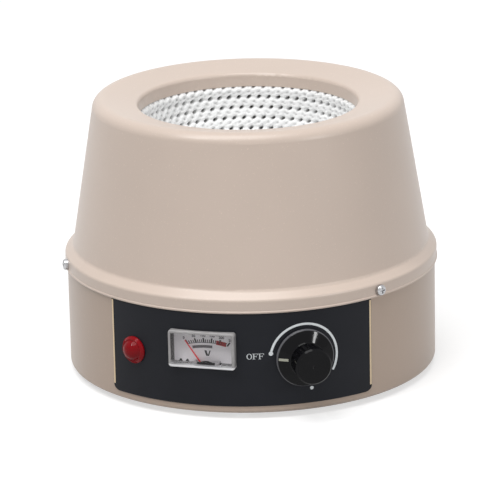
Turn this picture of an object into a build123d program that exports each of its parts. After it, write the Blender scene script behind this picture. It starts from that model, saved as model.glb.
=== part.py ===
from build123d import *
import os
from math import acos, atan2, cos, degrees, pi, radians, sin, sqrt, tan

os.makedirs("parts", exist_ok=True)

# Laboratory heating mantle: spun steel housing on a drum-shaped base, with a woven
# heating bag for a round-bottomed flask, a dial voltmeter, a lamp and a control knob.
# Millimetres. Origin: floor plane, on the axis of the well. +Z up, -Y to the panel's middle.

# ---------------------------------------------------------------- driving dimensions
# fits
sheet = 0.6                 # steel sheet of the housing, drum and partition
slip = 0.05                 # slip fit between two nested pieces
hair = 0.02                 # between two faces that bear on each other
thread_slip = 0.02          # screw in its tapped hole, radial
screw_clear = 0.15          # screw in a clearance hole, radial
travel_gap = 0.35           # air between a moving piece and a still one

# drum
drum_lift = 2.0             # drum's bottom edge above the floor
drum_r = 63.4               # outside of the drum
drum_h = 38.8               # drum, bottom edge to top rim
drum_bend = 1.0             # outside bend at the drum's bottom
drum_flange = 8.0           # in-turned bottom flange
plate_thick = 1.0           # bottom plate, lying on that flange
plate_room = 0.35           # plate's edge to the drum's wall
vent_long = 20.0
vent_wide = 2.6
vent_pitch = 6.0

# upper housing
skirt_gap = 35.0            # drum's bottom edge up to the housing's lower edge
skirt_h = 4.4               # upright skirt
skirt_bend = 1.2
hem_out = 0.12              # rolled lower edge beyond the skirt
hem_h = 0.45
hem_bend = 0.5
shoulder_rise = 2.5         # sloping shoulder above the skirt
shoulder_in = 2.88          # skirt's wall to the cone's foot
cone_foot_bend = 1.6
cone_top_r = 52.6           # sharp corner of cone and top, before rounding
housing_h = 58.52           # skirt's lower edge to that sharp corner
top_bend = 3.8
mouth_r = 37.5              # throat of the well: a 75 mm mouth
top_dip = 3.02              # top ring's fall from the cone corner to the mouth
lip_bend = 1.3
throat_h = 4.7              # straight throat below the lip

# heated well
bag_step = 1.0              # bag's flask side inside the throat
bag_wall = 4.6
ring_pitch = 3.55           # one cord ring to the next, along the wall
ring_groove = 1.4           # depth of the groove between two rings
ring_swell = 0.35           # roundness of a ring towards its grooves
stitch_pitch = 3.9          # one gap to the next, round the mouth
stitch_rows = 2
stitch_long = 2.5
stitch_wide = 0.8
stitch_lean = 32.0          # lean of each gap from upright, degrees
element_r = 0.9             # heating cord behind the bag
element_turns = 8
element_first = 10.0        # first and last ring below the bag's rim, degrees
element_last = 80.0
lead_over = 5.0             # leads' run beyond the last ring, degrees
pot_room = 2.6              # inner pot inside the cone's top corner
pot_sheet = 0.8
pot_bend = 3.0
pot_over = 0.9              # pot's rim above the bag's
partition_bend = 1.4
partition_edge = 6.0        # its turned-down edge
bushing_r = 3.2             # ceramic lead bushing through pot and partition
bushing_bore = 1.05
bushing_neck = 2.6
bushing_h = 9.0
bushing_neck_h = 2.0
bushing_low = 5.0           # bushing's foot below the partition
bushing_y = 30.0
lead_r = 0.72               # heating cord's leads
lead_gap = 9.0              # between the two of them
lead_end = 12.0             # leads' ends below the partition

# control panel
panel_half = 42.9           # half the panel's arc, degrees
panel_low = 2.6             # above the drum's bottom edge
panel_gap = 0.15            # panel's upper edge below the skirt's
panel_thick = 0.3
panel_corner = 2.0          # the two lower corners

# lamp
lamp_az = -34.0             # bearings round the drum from the panel's middle, degrees
lamp_z = 18.7               # heights above the drum's bottom edge
lens_r = 4.65               # bezel ring of the lens
lens_edge = 0.5
lens_ring_h = 1.3
lens_ring_in = 3.9
lens_dome_r = 3.5
lens_dome_h = 2.3
lens_wall = 0.9
lens_spigot = 3.0
lamp_tube_r = 3.95
lamp_tube_long = 15.0
lamp_wall = 0.7
lamp_floor = 1.2
lamp_nut_r = 5.2
lamp_nut_h = 1.8
bulb_long = 7.5

# voltmeter
meter_az = -10.8
meter_z = 22.15
meter_w = 22.8              # clear cover seen through the window
meter_h = 12.75
meter_stand = 1.3           # cover face beyond the panel
cover_wall = 1.0
cover_depth = 4.4           # cover face back to the case front
cover_round = 1.0
cover_inner_round = 0.4
dial_thick = 0.4
case_w = 29.0
case_deep = 19.0
case_wall = 1.3
case_round = 1.5
case_inner_round = 1.0
case_top = 9.6              # case above and below the meter's centre
case_bottom = 17.8
staff_x = 1.2               # needle's staff right of the meter's centre
staff_drop = 8.55           # and below it
staff_r = 0.5
staff_long = 13.5           # behind the case front
needle_lift = 0.7           # needle above the dial
needle_long = 13.2
needle_thick = 0.3
needle_root = 0.56
needle_tip = 0.24
needle_tail = 2.9
tail_wide = 0.7
needle_rest = 35.0          # left of upright at rest, degrees
hub_r = 1.1
hub_h = 0.6
boss_r = 4.4                # cover over the needle's root, about the staff
boss_thick = 0.7
boss_lift = 0.7             # above the needle
boss_leg = 0.7
coil_w = 11.0
coil_h = 9.0
coil_deep = 1.6
coil_wire = 0.9
coil_back = 8.0             # its middle behind the case front
magnet_r = 7.4
magnet_wall = 1.2
magnet_h = 12.0
core_r = 3.9
core_h = 5.6
bridge_w = 1.6
bridge_h = 3.0

# knob and control
knob_az = 20.0
knob_z = 18.8
knob_skirt_r = 9.85
knob_edge = 0.7
knob_bevel = 0.4
knob_cone_h = 2.6           # skirt's edge up to the grip's foot
knob_neck_r = 5.7
knob_foot = 0.3             # fillet-like step at the grip's foot
knob_cap_r = 6.2
knob_h = 10.7               # back plane to cap face
knob_round = 0.5
knob_dimple = 0.6
knob_flutes = 16
flute_r = 0.85
flute_out = 0.5             # flute's axis outside the grip
knob_rest = -3.4            # pointer's turn from nine o'clock at rest, anticlockwise, degrees
mark_long = 3.2
mark_wide = 0.85
mark_deep = 0.4
mark_proud = 0.05
mark_r = 7.85               # pointer line's middle
grub_r = 1.0
grub_z = 6.3
grub_slot = 0.35
shaft_r = 2.0
shaft_run = 0.04            # running clearance of shaft in bushing, radial
shaft_flat = 0.5            # depth of the flat under the set screw
shaft_head = 1.6            # knob's cap over the shaft's end
pot_bush_r = 3.0
control_r = 8.0             # body of the control
control_deep = 8.0
control_wall = 1.2
control_nut_af = 8.0
control_nut_h = 1.6
nut_room = 1.0              # air between the nut and the knob
washer_h = 0.4
tag_w = 9.0
tag_h = 3.5
wiper_r = 5.2
wiper_h = 1.4
switch_w = 13.0
switch_h = 11.0
switch_deep = 6.0
switch_tag = 4.0

# fasteners and feet
flange_screw_az = (46.0, 166.0, -74.0)
flange_screw_z = 37.3
flange_screw_r = 1.25
flange_head_r = 1.85
flange_head_h = 1.6
flange_screw_long = 5.5
foot_in = 15.0              # feet's circle inside the drum's wall
foot_r = 5.9
foot_tip_r = 5.2
foot_bore_r = 3.3
foot_bore_h = 1.3
foot_head_r = 2.8
foot_head_h = 1.0
foot_screw_long = 5.2
base_screw_in = 5.2         # base screws' circle inside the drum's wall
base_head_r = 2.4
base_head_h = 0.9
base_screw_long = 3.4
m3_r = 1.5
driver_wide = 0.5
driver_deep = 0.45

# circuit board
board_w = 62.0
board_l = 40.0
board_thick = 1.6
board_corner = 2.0
board_lift = 6.0
board_y = 16.0
board_inset = 4.0
post_r = 3.2
stud_r = 1.6
post_sole = 1.0
board_head_r = 2.7
board_head_h = 1.8
board_screw_long = 5.5
triac_x = -14.0
triac_y = 4.0
triac_w = 10.0
triac_deep = 4.4
triac_h = 9.0
tab_thick = 1.3
tab_h = 6.4
tab_hole_r = 1.8
leg_long = 3.6
leg_wide = 0.8
leg_thick = 0.6
leg_pitch = 2.54
sink_w = 20.0
sink_h = 18.0
sink_base = 1.6
fin_thick = 1.2
fin_out = 5.0
fins = 5
cap_x = 6.0
cap_y = -1.5
cap_w = 17.0
cap_deep = 8.0
cap_h = 12.0
cap_round = 0.8
fuse_x = 3.5
fuse_y = -10.0
fuse_r = 2.5
fuse_long = 21.0
fuse_cap = 6.0
fuse_glass_r = 2.3
clip_w = 6.0
clip_deep = 7.0
clip_h = 7.6
clip_axis = 4.2
clip_mouth = 3.8
terminal_x = 12.0
terminal_y = 14.0
terminal_w = 20.0
terminal_deep = 9.0
terminal_h = 9.0
way_pitch = 6.0
way_screw_r = 1.7
way_w = 4.0
way_h = 3.4
way_z = 3.5

# cord entry
gland_az = 180.0
gland_z = 14.0
gland_r = 6.0
gland_flange_r = 9.0
gland_flange_h = 2.4
gland_round = 0.8
gland_inside = 5.0          # spigot inside the wall
gland_nut_r = 8.2
gland_nut_h = 2.4
cord_hole_r = 3.3

# ---------------------------------------------------------------- levels and radii
z_drum = drum_lift
z_plate = z_drum + sheet + slip
z_floor = z_plate + plate_thick
z_rim = z_drum + drum_h
z_skirt = z_drum + skirt_gap
z_cone = z_skirt + skirt_h + shoulder_rise
z_top = z_skirt + housing_h
z_lip = z_top - top_dip
z_throat = z_lip - throat_h
bag_centre = z_throat - slip
inner_r = drum_r - sheet
panel_r = drum_r + panel_thick
skirt_r = drum_r + slip + sheet
cone_foot_r = skirt_r - shoulder_in
pot_r = cone_top_r - pot_room
bag_r = mouth_r - bag_step
bag_out = bag_r + bag_wall
foot_ring = drum_r - foot_in
base_screw_ring = drum_r - base_screw_in
through = 3 * bag_wall      # long enough to cut through any wall here


# ---------------------------------------------------------------- helpers
def at(az, r, z):
    """Frame on the drum's wall: local x to the right, y up, z outward."""
    return Rot(0, 0, az) * Pos(0, -r, z) * Rot(90, 0, 0)


def save(part, name, color):
    part.label = name
    part.color = Color(*color)
    export_step(part, f"parts/{name}.step")


def group(items):
    """Separate solids kept side by side in one node."""
    return Compound(children=[s for item in items for s in item.solids()])


def miter(points, thick):
    """Second side of a sheet: the same polyline, moved to its left by the thickness."""
    dirs = []
    for (x0, y0), (x1, y1) in zip(points, points[1:]):
        length = sqrt((x1 - x0) ** 2 + (y1 - y0) ** 2)
        dirs.append(((x1 - x0) / length, (y1 - y0) / length))
    out = []
    for i, (x, y) in enumerate(points):
        a = dirs[max(i - 1, 0)]
        b = dirs[min(i, len(dirs) - 1)]
        share = thick / (1 + a[0] * b[0] + a[1] * b[1])
        out.append((x - share * (a[1] + b[1]), y + share * (a[0] + b[0])))
    return out


def spun(points, bends, thick):
    """Sheet spun to a profile: bends are outside radii, signed by the way they turn."""
    inner = miter(points, thick)
    inner_bends = [abs(b) - thick if b > 0 else abs(b) + thick for b in bends]
    side_a = FilletPolyline(*points, radius=[abs(b) for b in bends])
    side_b = FilletPolyline(*inner, radius=inner_bends)
    ends = [Line(side_a @ 0, side_b @ 0), Line(side_a @ 1, side_b @ 1)]
    face = make_face([*side_a.edges(), *side_b.edges(), *ends])
    return revolve(Plane.XZ * face, Axis.Z)


def turned(points):
    """Solid of revolution about Z from a closed outline of (radius, height)."""
    return revolve(Plane.XZ * make_face(Polyline(*points, close=True)), Axis.Z)


def rod(r, height, low=0.0):
    return Pos(0, 0, low) * Cylinder(r, height, align=(Align.CENTER, Align.CENTER, Align.MIN))


def tube(r_out, r_in, height, low=0.0):
    return rod(r_out, height, low) - rod(r_in, height, low)


def block(w, d, h, low=0.0):
    return Pos(0, 0, low) * Box(w, d, h, align=(Align.CENTER, Align.CENTER, Align.MIN))


def slab(w, h, thick, corner):
    """Plate with rounded corners, lying on z = 0."""
    return extrude(RectangleRounded(w, h, corner), amount=thick)


def hex_nut(r, height, bore):
    return extrude(RegularPolygon(r, 6), amount=height) - rod(bore, height)


def bored(part, frames, r, low=-through, high=through):
    """Round holes through a part, one along the z axis of each frame."""
    for frame in frames:
        part -= frame * rod(r, high - low, low)
    return part


def pan_screw(shank_r, head_r, head_h, length):
    """Pan-head screw: head above z = 0, shank below, cross recess in the head."""
    head = fillet(rod(head_r, head_h).edges().group_by(Axis.Z)[-1], head_h * 0.45)
    arm = head_r * 1.1
    cross = block(arm, driver_wide, driver_deep) + block(driver_wide, arm, driver_deep)
    return head - Pos(0, 0, head_h - driver_deep) * cross + rod(shank_r, length, -length)


# ---------------------------------------------------------------- where the holes are
def wall_frames(azimuths, r, height):
    return [at(az, r, z_drum + height) for az in azimuths]


def flange_spots():
    return wall_frames(flange_screw_az, drum_r, flange_screw_z)


def foot_spots():
    return [Pos(0, 0, z_plate) * spot for spot in PolarLocations(foot_ring, 4, 45)]


def base_screw_spots():
    return [Pos(0, 0, z_plate) * spot for spot in PolarLocations(base_screw_ring, 4, 0)]


def stand_spots(z):
    """Corners of the circuit board where it is screwed down."""
    dx = board_w / 2 - board_inset
    dy = board_l / 2 - board_inset
    return [Pos(x * dx, board_y + y * dy, z) for x in (-1, 1) for y in (-1, 1)]


def lead_spots(z):
    return [Pos(x * lead_gap / 2, bushing_y, z) for x in (-1, 1)]


def lamp_frame():
    return at(lamp_az, panel_r, z_drum + lamp_z)


def meter_frame():
    return at(meter_az, panel_r, z_drum + meter_z)


def staff_frame():
    return meter_frame() * Pos(staff_x, -staff_drop, 0)


def knob_frame():
    return at(knob_az, panel_r, z_drum + knob_z)


def gland_frame():
    return at(gland_az, drum_r, z_drum + gland_z)


def wall_openings(part, grow):
    """Openings for lamp, meter and control, through drum or panel."""
    deep = 2 * cover_depth
    part = bored(part, [lamp_frame()], lamp_tube_r + slip + grow, -deep, deep)
    part = bored(part, [knob_frame()], pot_bush_r + slip + grow, -deep, deep)
    room = 2 * (slip + grow)
    window = slab(meter_w + room, meter_h + room, 2 * deep, cover_round)
    return part - meter_frame() * Pos(0, 0, -deep) * window


# ---------------------------------------------------------------- housing
def upper_housing():
    profile = [
        (skirt_r + hem_out, z_skirt),
        (skirt_r, z_skirt + hem_h),
        (skirt_r, z_skirt + skirt_h),
        (cone_foot_r, z_cone),
        (cone_top_r, z_top),
        (mouth_r, z_lip),
        (mouth_r, z_throat),
    ]
    shell = spun(profile, [-hem_bend, skirt_bend, -cone_foot_bend, top_bend, lip_bend], sheet)
    shell -= rod(2 * drum_r, 2 * sheet, z_skirt - 2 * sheet)
    return bored(shell, flange_spots(), flange_screw_r + screw_clear, -2 * sheet, 4 * sheet)


def base_drum():
    profile = [
        (drum_r - drum_flange, z_drum),
        (drum_r, z_drum),
        (drum_r, z_rim),
    ]
    drum = wall_openings(spun(profile, [drum_bend], sheet), 2 * slip)
    drum = bored(drum, flange_spots(), flange_screw_r + screw_clear, -2 * sheet, 2 * sheet)
    drum = bored(drum, base_screw_spots(), m3_r + screw_clear, -3 * sheet, sheet)
    return bored(drum, [gland_frame()], gland_r + slip, -4 * sheet, 2 * sheet)


def bottom_plate():
    plate = rod(inner_r - plate_room, plate_thick, z_plate)
    plate = bored(plate, base_screw_spots() + foot_spots(), m3_r + thread_slip)
    plate = bored(plate, stand_spots(z_floor), stud_r + slip)
    slot = extrude(SlotOverall(vent_long, vent_wide), amount=3 * plate_thick)
    for i in (-4, -3, -2, 2, 3, 4):
        plate -= Pos(0, i * vent_pitch, z_plate - plate_thick) * slot
    return plate


def partition_plate():
    """Dished steel disc inside the drum's rim: the flange screws bite into its edge."""
    edge = inner_r - slip
    profile = [(edge, z_rim - partition_edge), (edge, z_rim), (0, z_rim)]
    plate = spun(profile, [partition_bend], sheet)
    plate = bored(plate, flange_spots(), flange_screw_r + thread_slip, -2 * flange_screw_long, 0)
    return bored(plate, lead_spots(z_rim), bushing_r + slip)


def flange_screws():
    screw = pan_screw(flange_screw_r, flange_head_r, flange_head_h, flange_screw_long)
    seat = Pos(0, 0, skirt_r - drum_r + hair)
    return group([spot * seat * screw for spot in flange_spots()])


def rubber_feet():
    height = z_plate - hair
    foot = Cone(foot_tip_r, foot_r, height, align=(Align.CENTER, Align.CENTER, Align.MIN))
    foot = Pos(0, 0, -z_plate) * (foot - rod(foot_bore_r, foot_bore_h) - rod(m3_r + slip, height))
    return group([spot * foot for spot in foot_spots()])


def foot_screws():
    slot = block(2 * foot_head_r, driver_wide, driver_deep)
    screw = rod(m3_r, foot_screw_long) + rod(foot_head_r, foot_head_h) - slot
    seat = Pos(0, 0, foot_bore_h - foot_head_h - hair - z_plate)
    return group([spot * seat * screw for spot in foot_spots()])


def base_screws():
    screw = Rot(180, 0, 0) * pan_screw(m3_r, base_head_r, base_head_h, base_screw_long)
    seat = Pos(0, 0, z_drum - hair - z_plate)
    return group([spot * seat * screw for spot in base_screw_spots()])


def control_panel():
    low = z_drum + panel_low
    high = z_skirt - panel_gap
    half = panel_r * sin(radians(panel_half))
    outline = make_face(Polyline((-half, low), (half, low), (half, high), (-half, high), close=True))
    outline = fillet(outline.vertices().group_by(Axis.Y)[0], panel_corner)
    panel = tube(panel_r, drum_r + hair, high - low, low) & extrude(Plane.XZ * outline, amount=2 * panel_r)
    return wall_openings(panel, 0)


# ---------------------------------------------------------------- heated well
def ring_angles():
    """Grooves between the cord rings, as angles below the bag's rim, radians."""
    step = ring_pitch / bag_r
    return [i * step for i in range(int(0.5 * pi / step) + 1)]


def heating_bag():
    """Bowl of cord rings, with a row of open stitches in each of its first grooves."""
    grooves = ring_angles()
    step = grooves[1]
    flask = [(bag_r, bag_centre)]
    for low in grooves[:-1]:
        for share, depth in ((0.12, ring_swell), (0.5, 0.0), (0.88, ring_swell), (1.0, ring_groove)):
            turn = low + share * step
            reach = bag_r + depth
            flask.append((reach * cos(turn), bag_centre - reach * sin(turn)))
    flask.append((0, bag_centre - bag_r - ring_swell))
    line = Polyline(*flask)
    back = CenterArc((0, bag_centre), bag_out, -90, 90)
    face = make_face([*line.edges(), Line(flask[-1], (0, bag_centre - bag_out)), *back.edges(),
                      Line((bag_out, bag_centre), flask[0])])
    bag = revolve(Plane.XZ * face, Axis.Z)
    gap = Pos(0, 0, bag_centre) * Box(through, stitch_wide, stitch_long)
    cuts = []
    for row in range(1, stitch_rows + 1):
        drop = grooves[row]
        count = int(2 * pi * bag_r * cos(drop) / stitch_pitch)
        stitch = Rot(0, degrees(drop), 0) * Pos(bag_r + bag_wall / 2, 0, 0) * Rot(stitch_lean, 0, 0)
        for i in range(count):
            spot = Pos(0, 0, bag_centre) * Rot(0, 0, (i + row / 2) * 360 / count) * stitch
            cuts.append(spot * Pos(0, 0, -bag_centre) * gap)
    return bag - cuts


def element_reach():
    return bag_out + slip + element_r


def element_path():
    """Ring radii and heights of the heating cord, behind the bag."""
    step = (element_last - element_first) / (element_turns - 1)
    for i in range(element_turns):
        turn = radians(element_first + i * step)
        yield element_reach() * cos(turn), bag_centre - element_reach() * sin(turn)


def heating_element():
    """Cord rings joined by two meridian leads, which drop through the bushings."""
    element = None
    for r, z in element_path():
        turn = Pos(0, 0, z) * Torus(r, element_r)
        element = turn if element is None else element + turn
    middle = (element_first + element_last) / 2
    for x in (-1, 1):
        px = x * lead_gap / 2
        rise = sqrt(element_reach() ** 2 - px ** 2)
        spots = [radians(d) for d in (element_first, middle, element_last + lead_over)]
        arc = ThreePointArc(*[(px, rise * cos(t), bag_centre - rise * sin(t)) for t in spots])
        top = (px, bushing_y, bag_centre - rise * sin(acos(bushing_y / rise)))
        drop = Line(top, (px, bushing_y, z_rim - lead_end))
        for path in (arc, drop):
            profile = Plane(origin=path @ 0, z_dir=path % 0) * Circle(lead_r)
            element += sweep(profile, path=path)
    return element


def insulation():
    low = z_rim + pot_sheet + 2 * slip
    blank = rod(pot_r - pot_sheet - slip, bag_centre - low, low)
    blank = fillet(blank.edges().group_by(Axis.Z)[0], pot_bend - pot_sheet + slip)
    blank -= Pos(0, 0, bag_centre) * Sphere(element_reach() + element_r + slip)
    return bored(blank, lead_spots(z_rim), bushing_r + slip, 0, z_top - z_rim)


def inner_pot():
    low = z_rim + slip
    profile = [(0, low), (pot_r, low), (pot_r, bag_centre + pot_over)]
    return bored(spun(profile, [pot_bend], pot_sheet), lead_spots(low), bushing_r + slip)


def lead_bushings():
    bush = tube(bushing_r, bushing_bore, bushing_h)
    bush += tube(bushing_neck, bushing_bore, bushing_neck_h, bushing_h)
    return group([spot * bush for spot in lead_spots(z_rim - bushing_low)])


# ---------------------------------------------------------------- lamp
def lamp_lens():
    """Bevelled bezel ring with a dome inside it, and a hollow spigot in the tube."""
    sphere_r = (lens_dome_r ** 2 + lens_dome_h ** 2) / (2 * lens_dome_h)
    spigot = lamp_tube_r - lamp_wall - slip
    top = lens_ring_h + lens_dome_h
    ring = turned([(0, 0), (lens_r, 0), (lens_r, lens_edge), (lens_ring_in, lens_ring_h), (0, lens_ring_h)])
    dome = Pos(0, 0, top - sphere_r) * Sphere(sphere_r) & rod(lens_dome_r, top, lens_edge)
    lens = ring + dome + rod(spigot, lens_spigot, -lens_spigot)
    lens -= rod(spigot - lens_wall, lens_spigot + lens_ring_h, -lens_spigot)
    return lamp_frame() * Pos(0, 0, hair) * lens


def lamp_body():
    body = tube(lamp_tube_r, lamp_tube_r - lamp_wall, lamp_tube_long) + rod(lamp_tube_r, lamp_floor)
    return lamp_frame() * Pos(0, 0, -lamp_tube_long) * body


def lamp_nut():
    seat = panel_r - sqrt(inner_r ** 2 - lamp_nut_r ** 2) + slip
    nut = hex_nut(lamp_nut_r, lamp_nut_h, lamp_tube_r + slip)
    return lamp_frame() * Pos(0, 0, -seat - lamp_nut_h) * nut


def neon_bulb():
    glass_r = lamp_tube_r - lamp_wall - lens_wall - 2 * slip
    bulb = rod(glass_r, bulb_long) + Pos(0, 0, bulb_long) * Sphere(glass_r)
    return lamp_frame() * Pos(0, 0, lamp_floor + slip - lamp_tube_long) * bulb


# ---------------------------------------------------------------- voltmeter
# local heights, from the panel's surface
case_z = meter_stand - cover_depth
dial_z = case_z + hair + dial_thick
needle_z = dial_z + needle_lift
boss_z = needle_z + hub_h + boss_lift
frame_low = cover_wall + slip - meter_h / 2
coil_z = case_z - coil_back


def meter_cover():
    """Clear box, cut away at its foot where the needle's root passes."""
    shell = slab(meter_w, meter_h, cover_depth, cover_round)
    shell = fillet(shell.faces().sort_by(Axis.Z)[-1].edges(), cover_round * 0.6)
    inside_w = meter_w - 2 * cover_wall
    inside_h = meter_h - 2 * cover_wall
    shell -= slab(inside_w, inside_h, cover_depth - cover_wall, cover_inner_round)
    reach = (staff_drop + frame_low) * tan(radians(needle_rest)) + boss_r / 2 + travel_gap
    notch = block(2 * reach, 4 * cover_wall, needle_z + hub_h + travel_gap - case_z)
    shell -= Pos(staff_x, -meter_h / 2, 0) * notch
    return meter_frame() * Pos(0, 0, case_z) * shell


def meter_case():
    high = case_top + case_bottom
    case = slab(case_w, high, case_deep, case_round)
    room = 2 * case_wall
    hollow = slab(case_w - room, high - room, case_deep - room, case_inner_round)
    case -= Pos(0, 0, case_wall) * hollow
    case = meter_frame() * Pos(0, (case_top - case_bottom) / 2, case_z - case_deep) * case
    return bored(case, [staff_frame()], staff_r + slip, case_z - 2 * case_wall, case_z + case_wall)


def meter_dial():
    room = 2 * (cover_wall + slip)
    dial = slab(meter_w - room, meter_h - room, dial_thick, cover_inner_round)
    return meter_frame() * Pos(0, 0, case_z + hair) * dial


def meter_boss():
    """Round cover over the needle's root, on a bar whose two legs stand beside its sweep."""
    rise = staff_drop + frame_low
    above = Pos(0, rise + boss_r, 0) * block(4 * boss_r, 2 * boss_r, boss_thick, boss_z)
    disc = rod(boss_r, boss_thick, boss_z) & above
    reach = (rise + boss_leg) * tan(radians(needle_rest)) + needle_root + travel_gap + boss_leg / 2
    disc += Pos(0, rise + boss_leg / 2, 0) * block(2 * reach + boss_leg, boss_leg, boss_thick, boss_z)
    for x in (-1, 1):
        leg = block(boss_leg, boss_leg, boss_z - dial_z - hair + boss_thick / 2, dial_z + hair)
        disc += Pos(x * reach, rise + boss_leg / 2, 0) * leg
    return staff_frame() * disc


def meter_needle():
    root = needle_root / 2
    tip = needle_tip / 2
    arm = make_face(Polyline((-root, 0), (root, 0), (tip, needle_long), (-tip, needle_long), close=True))
    arm = extrude(arm, amount=needle_thick)
    tail = Pos(0, -needle_tail / 2, 0) * block(tail_wide, needle_tail, needle_thick)
    low = case_z - staff_long - needle_z
    needle = arm + tail + rod(hub_r, hub_h) + rod(staff_r, hub_h - low, low)
    return staff_frame() * Pos(0, 0, needle_z) * Rot(0, 0, needle_rest) * needle


def meter_coil():
    """Wound frame on the staff, turning in the magnet's air gap."""
    window = Box(coil_w - 2 * coil_wire, 2 * coil_deep, coil_h - 2 * coil_wire)
    frame = Box(coil_w, coil_deep, coil_h) - window
    frame -= Cylinder(staff_r + hair / 2, 2 * coil_h)
    return staff_frame() * Pos(0, 0, coil_z) * Rot(0, 0, needle_rest) * frame


def meter_magnet():
    """Ring magnet carried in the case: two bridges hold its core inside the coil."""
    low = case_z - case_deep + case_wall + hair
    magnet = tube(magnet_r, magnet_r - magnet_wall, magnet_h, low)
    magnet += rod(magnet_r - magnet_wall / 2, magnet_wall, low)
    magnet += Pos(0, 0, coil_z) * Cylinder(core_r, core_h)
    magnet += Pos(0, 0, coil_z) * Box(bridge_w, 2 * magnet_r - magnet_wall, bridge_h)
    magnet -= Pos(0, 0, coil_z) * Cylinder(staff_r + slip, 2 * core_h)
    return staff_frame() * magnet


# ---------------------------------------------------------------- knob and control
# local heights, from the panel's surface
knob_top = travel_gap + knob_h
skirt_top = travel_gap + knob_edge + knob_bevel
neck_z = travel_gap + knob_cone_h
nut_top = hair + washer_h + hair + control_nut_h
knob_turn = Rot(0, 0, knob_rest)


def control_seat():
    """Flat seat of the control behind the curved wall."""
    return sqrt(inner_r ** 2 - control_r ** 2) - panel_r - hair


def shaft_core(r, high, low=0.0):
    """Shaft or its bore, with the flat that the set screw bears on."""
    flat = block(4 * shaft_r, 2 * shaft_r, knob_top, nut_top + nut_room)
    return rod(r, high - low, low) - Pos(0, shaft_flat - 2 * shaft_r, 0) * flat


def cone_lean():
    """Slope of the knob's skirt, degrees."""
    run = knob_skirt_r - knob_bevel - knob_neck_r - knob_foot
    return degrees(atan2(neck_z - skirt_top, run))


def knob_mark(grow=0.0):
    """Pointer line let into the sloping skirt."""
    rise = (knob_skirt_r - knob_bevel - mark_r) * tan(radians(cone_lean()))
    line = block(mark_long + 2 * grow, mark_wide + 2 * grow, mark_deep + mark_proud, -mark_deep)
    return Pos(-mark_r, 0, skirt_top + rise) * Rot(0, -cone_lean(), 0) * line


def knob():
    edge_r = knob_skirt_r - knob_bevel
    profile = [
        (0, travel_gap),
        (knob_skirt_r, travel_gap),
        (knob_skirt_r, travel_gap + knob_edge),
        (edge_r, skirt_top),
        (knob_neck_r + knob_foot, neck_z),
        (knob_neck_r, neck_z + knob_foot),
        (knob_cap_r, knob_top - knob_round),
        (knob_cap_r - knob_round, knob_top),
        (knob_dimple, knob_top),
        (0, knob_top - knob_dimple / 2),
    ]
    body = turned(profile)
    foot = neck_z + 2 * knob_foot
    grip = knob_top - 2 * knob_round - foot
    lean = degrees(atan2(knob_cap_r - knob_neck_r, grip))
    flute = Pos(knob_neck_r + flute_out, 0, foot) * Rot(0, lean, 0) * rod(flute_r, grip)
    body -= [Rot(0, 0, (i + 0.5) * 360 / knob_flutes) * flute for i in range(knob_flutes)]
    body -= rod(control_nut_af / sqrt(3) + travel_gap, nut_top + nut_room)
    body -= shaft_core(shaft_r + thread_slip, knob_top - shaft_head)
    body -= Pos(0, 0, grub_z) * Rot(90, 0, 0) * rod(grub_r + thread_slip, 2 * knob_cap_r)
    body -= knob_mark(2 * hair)
    return knob_frame() * knob_turn * body


def knob_pointer():
    return knob_frame() * knob_turn * knob_mark()


def knob_screw():
    seat = shaft_r - shaft_flat + hair
    long = knob_neck_r - seat - knob_foot
    grub = rod(grub_r, long) - block(2 * grub_r, grub_slot, long, long - driver_deep)
    return knob_frame() * knob_turn * Pos(0, -seat, grub_z) * Rot(90, 0, 0) * grub


def pot_shaft():
    """Shaft with a flat for the set screw."""
    shaft = shaft_core(shaft_r, knob_top - shaft_head - slip, 4 * slip - control_deep)
    return knob_frame() * knob_turn * shaft


def pot_wiper():
    low = control_wall + 8 * slip - control_deep
    arm_long = wiper_r - shaft_r
    wiper = tube(wiper_r, shaft_r + hair / 2, wiper_h, low)
    wiper += Pos(wiper_r - arm_long / 3, 0, low - 4 * slip) * block(arm_long, control_wall, wiper_h / 2)
    return knob_frame() * knob_turn * wiper


def pot_body():
    seat = control_seat()
    low = seat - control_deep
    body = rod(control_r, control_deep, low)
    body -= rod(control_r - control_wall, control_deep - 2 * control_wall, low + control_wall)
    body -= rod(pot_bush_r + slip, 2 * control_wall, seat - control_wall - slip)
    body += Pos(0, -control_r - control_wall / 2, 0) * block(tag_w, tag_h, wiper_h, low + control_wall)
    return knob_frame() * body


def pot_bushing():
    low = control_seat() - control_wall
    return knob_frame() * tube(pot_bush_r, shaft_r + shaft_run, nut_top + 4 * slip - low, low)


def pot_washer():
    return knob_frame() * tube(control_nut_af / 2 + travel_gap, pot_bush_r + slip, washer_h, hair)


def pot_nut():
    nut = hex_nut(control_nut_af / sqrt(3), control_nut_h, pot_bush_r + thread_slip)
    return knob_frame() * Pos(0, 0, nut_top - control_nut_h) * nut


def power_switch():
    back = control_seat() - control_deep - hair
    switch = Pos(0, 0, back - switch_deep) * slab(switch_w, switch_h, switch_deep, control_wall)
    for x in (-1, 1):
        tag = block(leg_wide, tag_h, switch_tag + hair, back - switch_deep - switch_tag)
        switch += Pos(x * switch_w / 3, 0, 0) * tag
    return knob_frame() * switch


# ---------------------------------------------------------------- circuit board
board_z = z_floor + board_lift
board_top = board_z + board_thick + hair


def on_board(x, y, z=0.0):
    """Place on the board's upper face."""
    return Pos(x, board_y + y, board_top + z)


def circuit_board():
    board = Pos(0, board_y, board_z) * slab(board_w, board_l, board_thick, board_corner)
    return bored(board, stand_spots(board_z), m3_r + screw_clear)


def board_standoffs():
    post = hex_nut(post_r, board_lift - 2 * hair, m3_r + thread_slip)
    post += rod(post_r * 0.8, post_sole) + rod(stud_r, plate_thick, -plate_thick)
    return group([spot * post for spot in stand_spots(z_floor + hair)])


def board_screws():
    screw = pan_screw(m3_r, board_head_r, board_head_h, board_screw_long)
    return group([spot * screw for spot in stand_spots(board_top)])


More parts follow.
